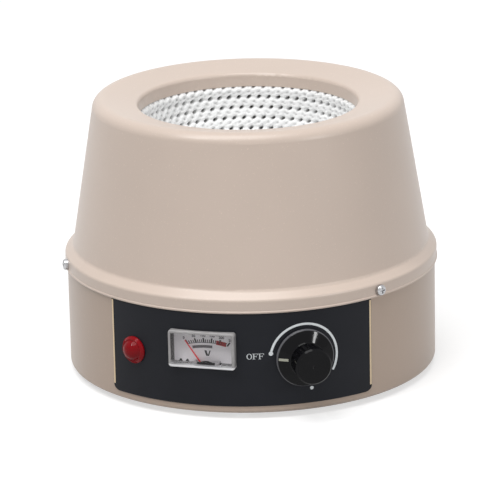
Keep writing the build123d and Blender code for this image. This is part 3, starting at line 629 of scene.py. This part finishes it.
class MANTLE_OT_bag(bpy.types.Operator):
    """Knit the heating bag in courses of slanted stitches"""

    bl_idname = "mantle.bag"
    bl_label = "Heating bag"

    def execute(self, context):
        sizes = context.scene.mantle_bag
        inner, layers = self.knit(sizes)
        verts, faces = self.close(inner, sizes.inside + POLE_IN)
        piece = mesh_piece("knitted_bag", verts, faces, knitted_fibre(), "glass_fibre")
        # The 'depth' layer holds painted shade for the gaps, dimples and grooves; the 'ply' layer holds the
        # cord's twist.
        for name, values in layers.items():
            whole = np.zeros(len(verts), dtype=np.float32)
            whole[:len(inner)] = values.reshape(-1)
            piece.data.attributes.new(name, "FLOAT", "POINT").data.foreach_set("value", whole)
        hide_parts("heating_bag")
        return {"FINISHED"}

    def knit(self, sizes):
        """Points of the flask side, the painted shade of each in the gaps, dimples and grooves, and where
        it is on the cord's twist.
        """
        quarter = 0.5 * np.pi
        turn, drop = np.meshgrid(2 * np.pi * np.arange(BAG_AROUND) / BAG_AROUND,
                                 quarter * (np.arange(BAG_DOWN + 1) / BAG_DOWN) * 0.985)
        row = drop / quarter * (quarter * sizes.inside / sizes.course)
        course = np.floor(row + 0.5)
        hem = np.clip((course * sizes.course) / sizes.inside, 0, quarter - 0.1)
        stitches = np.maximum(6, np.round(2 * np.pi * sizes.inside * np.cos(hem) / sizes.stitch))
        across = turn / (2 * np.pi) * stitches + 0.5 * course
        # Open gaps lean along a course, and closed dimples sit between two courses.
        along = row - course
        slant = across - 0.5 * along
        aside = slant - np.round(slant)
        hole = bell((aside, 0.16), (along, 0.15))
        between = along - 0.5 * np.sign(along)
        lag = across - 0.5 * between - 0.5
        dimple = bell((lag - np.round(lag), 0.20), (between, 0.16))
        groove = bell((along, 0.13))
        crease = 0.35 * bell((aside, 0.10))
        reach = (sizes.inside + sizes.hole * hole + sizes.dimple * dimple
                 + sizes.groove * (groove + crease))
        # The last rings run out into a smooth pole.
        cap = np.clip((drop - 1.40) / 0.12, 0, 1)
        reach = reach * (1 - cap) + (sizes.inside + POLE_IN) * cap
        inner = np.stack([reach * np.cos(drop) * np.cos(turn), reach * np.cos(drop) * np.sin(turn),
                          BAG_RIM - reach * np.sin(drop)], axis=-1).reshape(-1, 3)
        # Painted shade: darkest in the open gaps, less in the closed dimples, faint in the grooves.
        dark = np.clip(1.30 * hole - 0.18 + 0.62 * dimple + 0.06 * groove, 0, 1) * (1 - cap)
        twist = 0.5 + 0.5 * np.sin(2 * np.pi * (2.0 * slant + 1.5 * along))
        return inner, {"depth": dark, "ply": twist}

    def close(self, inner, pole_r):
        """Closes the knit with a pole, a plain back and a rim."""
        verts = [tuple(v) for v in inner]
        faces = ring_quads(0, BAG_DOWN, BAG_AROUND)
        pole = len(verts)
        verts.append((0.0, 0.0, BAG_RIM - pole_r))
        last = BAG_DOWN * BAG_AROUND
        faces += [[last + j, pole, last + (j + 1) % BAG_AROUND] for j in range(BAG_AROUND)]
        start = len(verts)
        outer = BAG_AROUND // BACK_STEP
        for i in range(BACK_ROWS - 1, -1, -1):
            drop = 0.5 * math.pi * i / BACK_ROWS
            level, z = BAG_WALL_R * math.cos(drop), BAG_RIM - BAG_WALL_R * math.sin(drop)
            turns = [2 * math.pi * j / outer for j in range(outer)]
            verts += [(level * math.cos(t), level * math.sin(t), z) for t in turns]
        floor_pole = len(verts)
        verts.append((0.0, 0.0, BAG_RIM - BAG_WALL_R))
        faces += [[start + j, start + (j + 1) % outer, floor_pole] for j in range(outer)]
        faces += ring_quads(start, BACK_ROWS - 1, outer)
        rim = start + (BACK_ROWS - 1) * outer
        for j in range(outer):
            inner_edge = [(j * BACK_STEP + s) % BAG_AROUND for s in range(BACK_STEP + 1)]
            faces.append([rim + (j + 1) % outer, rim + j, *inner_edge])
        return verts, faces


class MANTLE_OT_panel(bpy.types.Operator):
    """Finish the panel film and print its marks"""

    bl_idname = "mantle.panel"
    bl_label = "Control panel"

    def execute(self, context):
        film, ink = (tuple(color) for color in (finish().film, finish().ink))
        dress("control_panel", moulded("panel_film", film, 0.48, spec=0.14, vary=0.10, grain=1800.0,
                                       patch=40.0))
        sizes = context.scene.mantle_print

        def by_knob(x, y):
            return on_drum(x, y, sizes.knob_bearing, BASE + sizes.knob_height)

        def by_word(x, y):
            return on_drum(x, y, sizes.word_bearing, BASE + sizes.word_height)

        r = sizes.arc_radius
        line = arc_points(0, 0, r, ARC_START, ARC_END, ARC_STEPS)
        end = arc_points(0, 0, r - END_DOT_IN, END_DOT_AT, END_DOT_AT, 1)[0]
        loops = strip(line, sizes.arc_width) + disc(*line[0], START_DOT_R) + disc(*end, END_DOT_R)
        ink_piece("knob_scale", loops, by_knob, printed("panel_ink", ink), "pointer_white")
        ink_piece("knob_word", self.word(sizes), by_word, printed("word_ink", shade(ink, 0.72)),
                  "pointer_white")
        self.edge_lines()
        return {"FINISHED"}

    def edge_lines(self):
        """Pale line up each side of the film."""
        edge = printed("panel_edge_ink", (0.78, 0.62, 0.42))
        low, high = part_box("control_panel")
        foot, top = low[2] + EDGE_FOOT, high[2] - EDGE_TOP
        heights = [foot + (top - foot) * i / EDGE_STEPS for i in range(EDGE_STEPS + 1)]
        for name, side in (("panel_edge_left", -1), ("panel_edge_right", 1)):
            x = side * (EDGE_TURN * PANEL_R - EDGE_IN)
            line = strip([(x, z) for z in heights], EDGE_WIDE)
            ink_piece(name, line, lambda px, py: on_drum(px, py, 0.0, 0.0), edge, "pointer_white")

    def word(self, sizes):
        """The word OFF in seriffed capitals, about its own middle."""
        h = sizes.word_size / 2
        third = sizes.word_width / 3
        loops = ring(-third, 0, third * 0.46, h, third * 0.27, h * 0.82)
        for left in (-0.36 * third, 0.60 * third):
            loops += self.letter_f(left, third, h)
        return loops

    def letter_f(self, left, pitch, h):
        """Capital F: a stem on its foot, and two arms that end in serifs."""
        stem = left + 0.19 * pitch
        serif = 0.14 * pitch
        arm, short_arm = left + 0.80 * pitch, left + 0.56 * pitch
        top = h * 0.98
        return (bar(left, -top, stem, top)
                + bar(left - serif, -top, stem + serif, -top + 0.12 * h)
                + bar(left - serif, top - 0.16 * h, arm, top)
                + bar(left + 0.70 * pitch, top - 0.52 * h, arm, top)
                + bar(stem, -0.05 * h, short_arm, 0.11 * h)
                + bar(left + 0.48 * pitch, -0.26 * h, short_arm, 0.32 * h))


class MANTLE_OT_meter(bpy.types.Operator):
    """Finish the voltmeter and print its dial"""

    bl_idname = "mantle.meter"
    bl_label = "Voltmeter"

    def execute(self, context):
        sizes = context.scene.mantle_dial
        dress("meter_cover", framed_cover(facing(sizes.bearing, PANEL_R, BASE + sizes.height), sizes))
        dress("meter_case", moulded("case_black", (0.014, 0.014, 0.016), 0.35))
        dress("meter_dial", moulded("dial_enamel", tuple(finish().dial), 0.5, spec=0.3, vary=0.02,
                                    depth=0.005))
        dress("meter_boss", self.boss_paint_and_painted_shade(sizes))
        dress("meter_needle", moulded("needle_red", (0.78, 0.030, 0.040), 0.4, vary=0.06, depth=0.005))
        dress("meter_coil", moulded("coil_copper", (0.72, 0.36, 0.20), 0.3, metal=1.0, grain=3000.0,
                                    stretch=(1, 1, 20)))
        dress("meter_magnet", moulded("magnet_grey", (0.10, 0.10, 0.11), 0.5, metal=1.0))
        self.print_dial(sizes)
        return {"FINISHED"}

    def boss_paint_and_painted_shade(self, sizes):
        """Black in the middle over the staff, and out along its bar a darker copy of the dial's enamel, as
        painted shade.
        """
        material = moulded("boss_black", (0.006, 0.006, 0.007), 0.5, spec=0.1, depth=0.01)
        nodes, links = material.node_tree.nodes, material.node_tree.links
        place = facing(sizes.bearing, PANEL_R, BASE + sizes.height)
        along = place.to_3x3().col[0]
        staff = place.translation + along * sizes.staff_right
        side = axis_distance(nodes, links, nodes["Texture Coordinate"], staff, along)
        # Painted shade: the bar takes the dial's enamel darkened, for the more light it gets standing
        # forward of the dial.
        repaint(material, ease(nodes, links, side, 3.0 * MM, 3.2 * MM), shade(tuple(finish().dial), 0.42))
        return material

    def print_dial(self, sizes):
        """Flat scale over the staff, its numbers, a red zone, the unit and two small marks."""
        black = printed("dial_ink", (0.016, 0.016, 0.018))
        grey = printed("dial_grey", (0.13, 0.12, 0.13))
        red = printed("dial_red", (0.42, 0.02, 0.02))
        outward = Vector((math.sin(sizes.bearing), -math.cos(sizes.bearing), 0))
        face_r = max(outward.dot(v.co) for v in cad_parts["meter_dial"].data.vertices)
        plane = (facing(sizes.bearing, face_r + 0.02 * MM, BASE + sizes.height)
                 @ Matrix.Translation((sizes.staff_right, -sizes.staff_drop, 0)))

        def place(x, y):
            return plane @ Vector((x, y, 0))

        def on_scale(share, above):
            """Point over the scale line where the needle crosses it, share from 0 to 1."""
            lean = sizes.half_sweep * (2 * share - 1)
            centre = sizes.scale_height - sizes.scale_radius
            x, y = math.sin(lean), math.cos(lean)
            out = centre * y + math.sqrt(sizes.scale_radius ** 2 - (centre * x) ** 2)
            return (out + above) * x, (out + above) * y

        line = [on_scale(i / SCALE_STEPS, 0.0) for i in range(SCALE_STEPS + 1)]
        loops = strip(line, SCALE_WIDE * MM)
        for i in range(sizes.steps + 1):
            tall, wide = SHORT_TICK if i % LONG_EVERY else LONG_TICK
            loops += strip([on_scale(i / sizes.steps, h * MM) for h in (0.0, tall)], wide * MM)
        for x in MARKS_ACROSS:
            loops += disc(x * MM, MARK_DOT_UP * MM, MARK_DOT_R * MM)
            loops += bar((x - MARK_HALF) * MM, MARK_FOOT * MM, (x + MARK_HALF) * MM, MARK_TOP * MM)
        loops += self.unit(0.0, UNIT_UP * MM, UNIT_SIZE * MM)
        ink_piece("dial_scale", loops, place, black, "panel_film")
        for name, (part, lift, wide), ink, slot in (("dial_band", BAND, grey, "panel_film"),
                                                    ("dial_red_zone", RED_ZONE, red, "needle_red")):
            stripe = [(x, y + lift * MM) for x, y in line[part]]
            ink_piece(name, strip(stripe, wide * MM), place, ink, slot)
        for i, text in enumerate(("0", "50", "100", "150", "200", "250")):
            x, y = on_scale(i / 5, NUMBER_UP * MM)
            self.numeral(f"dial_number_{text}", text, plane, x, y, NUMBER_SIZE * MM, grey)

    def unit(self, x, y, h):
        """Bold letter V, centred."""
        half = 0.42 * h
        loops = []
        for side in (-1, 1):
            top, foot = side * half, side * 0.10 * h
            pen = 0.20 * h if side < 0 else 0.12 * h
            loops.append([Vector((x + top - pen, y + h / 2)), Vector((x + foot - pen, y - h / 2)),
                          Vector((x + foot + pen, y - h / 2)), Vector((x + top + pen, y + h / 2))])
        return loops

    def numeral(self, name, text, plane, x, y, size, material):
        """Printed figure, centred at a place on the dial."""
        curve = bpy.data.curves.new(name, "FONT")
        curve.body = text
        curve.size = size
        curve.align_x = "CENTER"
        curve.align_y = "CENTER"
        curve.resolution_u = 3
        curve.offset = 0.05 * size
        temporary = bpy.data.objects.new(name + "_outline", curve)
        mesh = bpy.data.meshes.new_from_object(temporary)
        mesh.name = name
        bpy.data.objects.remove(temporary)
        mesh.transform(plane @ Matrix.Translation((x, y, 0)))
        mesh.materials.clear()
        mesh.materials.append(material)
        piece = bpy.data.objects.new(name, mesh)
        bpy.context.scene.collection.objects.link(piece)
        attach(piece, "housing")


class MANTLE_OT_controls(bpy.types.Operator):
    """Finish the knob, its shaft and the lamp"""

    bl_idname = "mantle.controls"
    bl_label = "Knob and lamp"

    def execute(self, context):
        dress("knob", self.knob_gloss(context.scene.mantle_print))
        dress("knob_pointer", printed("pointer_paint", (0.46, 0.46, 0.38)))
        low, high = (Vector(c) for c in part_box("lamp_lens"))
        dress("lamp_lens", lamp_red((low + high) / 2, (high.z - low.z) / 2))
        dress("lamp_body", moulded("lamp_body_black", (0.02, 0.02, 0.022), 0.4))
        dress("neon_bulb", clear_moulding("bulb_glass", (0.95, 0.90, 0.86)))
        zinc = spun_zinc("nut_zinc", (0.60, 0.60, 0.61), 0.3)
        for node in ("lamp_nut", "pot_shaft", "pot_bushing", "pot_washer", "pot_nut", "knob_screw"):
            dress(node, zinc)
        phenolic = moulded("phenolic_brown", (0.10, 0.055, 0.030), 0.5, grain=1500.0)
        dress("pot_body", phenolic)
        dress("pot_wiper", phenolic)
        dress("power_switch", moulded("switch_black", (0.018, 0.018, 0.02), 0.4))
        return {"FINISHED"}

    def knob_gloss(self, sizes):
        """Gloss black, with a painted highlight of grey round the edge of the flange."""
        material = moulded("knob_gloss", tuple(finish().knob), 0.10, spec=0.12, vary=0.15, grain=700.0,
                           depth=0.01, patch=140.0)
        nodes, links = material.node_tree.nodes, material.node_tree.links
        place = facing(sizes.knob_bearing, PANEL_R, BASE + sizes.knob_height)
        point = nodes["Texture Coordinate"].outputs["Object"]
        out = vector_math(nodes, links, "SUBTRACT", point, place.translation)
        across = vector_math(nodes, links, "CROSS_PRODUCT", out.outputs["Vector"], place.to_3x3().col[2])
        far = vector_math(nodes, links, "LENGTH", across.outputs["Vector"])
        low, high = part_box("knob")
        flange = (high[2] - low[2]) / 2
        # Painted highlight: a thin grey ring round the flange's edge.
        edge = ease(nodes, links, far.outputs["Value"], flange - 0.40 * MM, flange - 0.15 * MM)
        repaint(material, edge, (0.12, 0.12, 0.13))
        return material


class MANTLE_OT_hardware(bpy.types.Operator):
    """Finish screws, feet, plates and the cord entry"""

    bl_idname = "mantle.hardware"
    bl_label = "Hardware"

    def execute(self, context):
        zinc = spun_zinc()
        for node in ("flange_screws", "foot_screws", "base_screws", "board_screws", "board_standoffs"):
            dress(node, zinc)
        plate = spun_zinc("galvanised_sheet", (0.52, 0.53, 0.54), 0.42)
        dress("bottom_plate", plate)
        dress("partition_plate", plate)
        rubber = moulded("black_rubber", (0.018, 0.018, 0.018), 0.75, spec=0.25, grain=2600.0, depth=0.04)
        dress("rubber_feet", rubber)
        dress("cable_gland", rubber)
        dress("gland_nut", moulded("gland_nylon", (0.02, 0.02, 0.022), 0.45))
        return {"FINISHED"}


class MANTLE_OT_inside(bpy.types.Operator):
    """Finish the heater's inner pieces and the circuit board"""

    bl_idname = "mantle.inside"
    bl_label = "Inside"

    def execute(self, context):
        dress("heating_element", moulded("element_cord", (0.55, 0.48, 0.36), 0.85, spec=0.2, grain=1800.0,
                                         depth=0.2))
        dress("insulation", moulded("mineral_wool", (0.58, 0.53, 0.38), 0.95, spec=0.1, vary=0.2,
                                    depth=0.6))
        aluminium = moulded("soft_aluminium", (0.70, 0.71, 0.72), 0.35, metal=1.0, stretch=(1, 1, 5))
        dress("inner_pot", aluminium)
        dress("heat_sink", aluminium)
        dress("lead_bushings", moulded("steatite", (0.82, 0.79, 0.72), 0.5, grain=1200.0))
        dress("circuit_board", moulded("board_resin", (0.03, 0.16, 0.07), 0.35, grain=1600.0))
        dress("triac", moulded("epoxy_black", (0.018, 0.018, 0.018), 0.5))
        dress("capacitor", moulded("film_case", (0.62, 0.42, 0.05), 0.3))
        dress("fuse_clips", spun_zinc("clip_tin", (0.66, 0.66, 0.64), 0.3))
        dress("fuse", clear_moulding("fuse_glass", (0.93, 0.95, 0.95)))
        dress("terminal_block", moulded("terminal_nylon", (0.76, 0.76, 0.70), 0.45))
        return {"FINISHED"}


class MANTLE_OT_stage(bpy.types.Operator):
    """Lay the floor, set the lights and place the camera"""

    bl_idname = "mantle.stage"
    bl_label = "Stage"

    def execute(self, context):
        sizes = context.scene.mantle_stage
        context.scene.view_settings.view_transform = "Standard"
        self.floor()
        self.world(sizes.fill)
        for name, (place, size, share) in LIGHTS.items():
            self.area(name, place, size, sizes.key * share)
        self.camera(sizes)
        return {"FINISHED"}

    def floor(self):
        """Pale level floor, lit a little from itself where the camera sees it."""
        half = FLOOR_HALF
        mesh = bpy.data.meshes.new("floor")
        mesh.from_pydata([(-half, -half, 0), (half, -half, 0), (half, half, 0), (-half, half, 0)], [],
                         [(0, 1, 2, 3)])
        material, nodes, links, bsdf = shader("pale_floor")
        coords = nodes.new("ShaderNodeTexCoord")
        cloud = noise(nodes, links, coords, 3.0)
        links.new(tint(nodes, links, cloud.outputs["Fac"], (0.50, 0.50, 0.50), (0.52, 0.52, 0.52)),
                  bsdf.inputs["Base Color"])
        bsdf.inputs["Roughness"].default_value = 0.9
        bsdf.inputs["Specular IOR Level"].default_value = 0.1
        glow = nodes.new("ShaderNodeEmission")
        glow.inputs["Color"].default_value = (1, 1, 1, 1)
        lift = nodes.new("ShaderNodeMath")
        lift.operation = "MULTIPLY"
        lift.inputs[1].default_value = FLOOR_LIFT
        links.new(self.looked_at(nodes, links), lift.inputs[0])
        links.new(lift.outputs[0], glow.inputs["Strength"])
        both = nodes.new("ShaderNodeAddShader")
        links.new(bsdf.outputs["BSDF"], both.inputs[0])
        links.new(glow.outputs["Emission"], both.inputs[1])
        links.new(both.outputs["Shader"], nodes["Material Output"].inputs["Surface"])
        mesh.materials.append(material)
        floor = bpy.data.objects.new("floor", mesh)
        bpy.context.scene.collection.objects.link(floor)

    def world(self, fill):
        """Even room light, and plain white where the camera sees past the floor."""
        world = bpy.data.worlds.new("studio")
        bpy.context.scene.world = world
        world.use_nodes = True
        nodes, links = world.node_tree.nodes, world.node_tree.links
        soft = nodes["Background"]
        soft.inputs["Color"].default_value = (1, 1, 1, 1)
        soft.inputs["Strength"].default_value = fill
        plain = nodes.new("ShaderNodeBackground")
        plain.inputs["Color"].default_value = (1, 1, 1, 1)
        plain.inputs["Strength"].default_value = 1.0
        choose = nodes.new("ShaderNodeMixShader")
        links.new(self.looked_at(nodes, links), choose.inputs["Fac"])
        links.new(soft.outputs["Background"], choose.inputs[1])
        links.new(plain.outputs["Background"], choose.inputs[2])
        links.new(choose.outputs["Shader"], nodes["World Output"].inputs["Surface"])

    def looked_at(self, nodes, links):
        """1 for rays from the camera or off gloss and glass, 0 for rays that light the object."""
        seen = nodes.new("ShaderNodeLightPath")
        total = seen.outputs["Is Camera Ray"]
        for kind in ("Is Glossy Ray", "Is Transmission Ray"):
            add = nodes.new("ShaderNodeMath")
            add.use_clamp = True
            links.new(total, add.inputs[0])
            links.new(seen.outputs[kind], add.inputs[1])
            total = add.outputs[0]
        return total

    def area(self, name, place, size, power):
        """Round area light that points at the mantle."""
        light = bpy.data.lights.new(name, "AREA")
        light.shape = "DISK"
        light.size = size
        light.energy = power
        lamp = bpy.data.objects.new(name, light)
        bpy.context.scene.collection.objects.link(lamp)
        lamp.location = place
        aim = Vector(LIGHTS_AIM) - Vector(place)
        lamp.rotation_euler = aim.to_track_quat("-Z", "Y").to_euler()

    def camera(self, sizes):
        """Camera round from the panel's middle, looking down on the mantle."""
        lens = bpy.data.cameras.new("camera")
        lens.sensor_width = 36.0
        lens.lens = sizes.focal
        lens.clip_end = 20.0
        camera = bpy.data.objects.new("camera", lens)
        bpy.context.scene.collection.objects.link(camera)
        bearing = sizes.bearing
        camera.location = (sizes.distance * math.sin(bearing), -sizes.distance * math.cos(bearing),
                           BASE + sizes.height)
        level = Euler((math.radians(90) - sizes.pitch, 0, bearing + sizes.pan)).to_matrix()
        camera.rotation_euler = (level @ Matrix.Rotation(-sizes.roll, 3, "Z")).to_euler()
        bpy.context.scene.camera = camera


# ---------------------------------------------------------------- panel and registration
class MANTLE_PT_build(bpy.types.Panel):
    """Lists the steps that dress the mantle"""

    bl_label = "Heating mantle"
    bl_idname = "MANTLE_PT_build"
    bl_space_type = "VIEW_3D"
    bl_region_type = "UI"
    bl_category = "Mantle"

    def draw(self, context):
        for owner in GROUPS:
            group = getattr(context.scene, owner)
            box = self.layout.box()
            for key in group.__annotations__:
                box.prop(group, key)
        for step in STEPS:
            self.layout.operator(step.bl_idname)


GROUPS = {
    "mantle_finish": MantleFinish,
    "mantle_bag": BagSizes,
    "mantle_print": PrintSizes,
    "mantle_dial": DialSizes,
    "mantle_stage": StageSizes,
}
STEPS = (MANTLE_OT_housing, MANTLE_OT_bag, MANTLE_OT_panel, MANTLE_OT_meter, MANTLE_OT_controls,
         MANTLE_OT_hardware, MANTLE_OT_inside, MANTLE_OT_stage)


def register():
    for name, group in GROUPS.items():
        bpy.utils.register_class(group)
        setattr(bpy.types.Scene, name, PointerProperty(type=group))
    for step in STEPS:
        bpy.utils.register_class(step)
    bpy.utils.register_class(MANTLE_PT_build)


def unregister():
    bpy.utils.unregister_class(MANTLE_PT_build)
    for step in reversed(STEPS):
        bpy.utils.unregister_class(step)
    for name, group in reversed(GROUPS.items()):
        delattr(bpy.types.Scene, name)
        bpy.utils.unregister_class(group)


def main():
    register()
    bpy.ops.mantle.housing()
    bpy.ops.mantle.bag()
    bpy.ops.mantle.panel()
    bpy.ops.mantle.meter()
    bpy.ops.mantle.controls()
    bpy.ops.mantle.hardware()
    bpy.ops.mantle.inside()
    bpy.ops.mantle.stage()


if __name__ == "__main__":
    main()
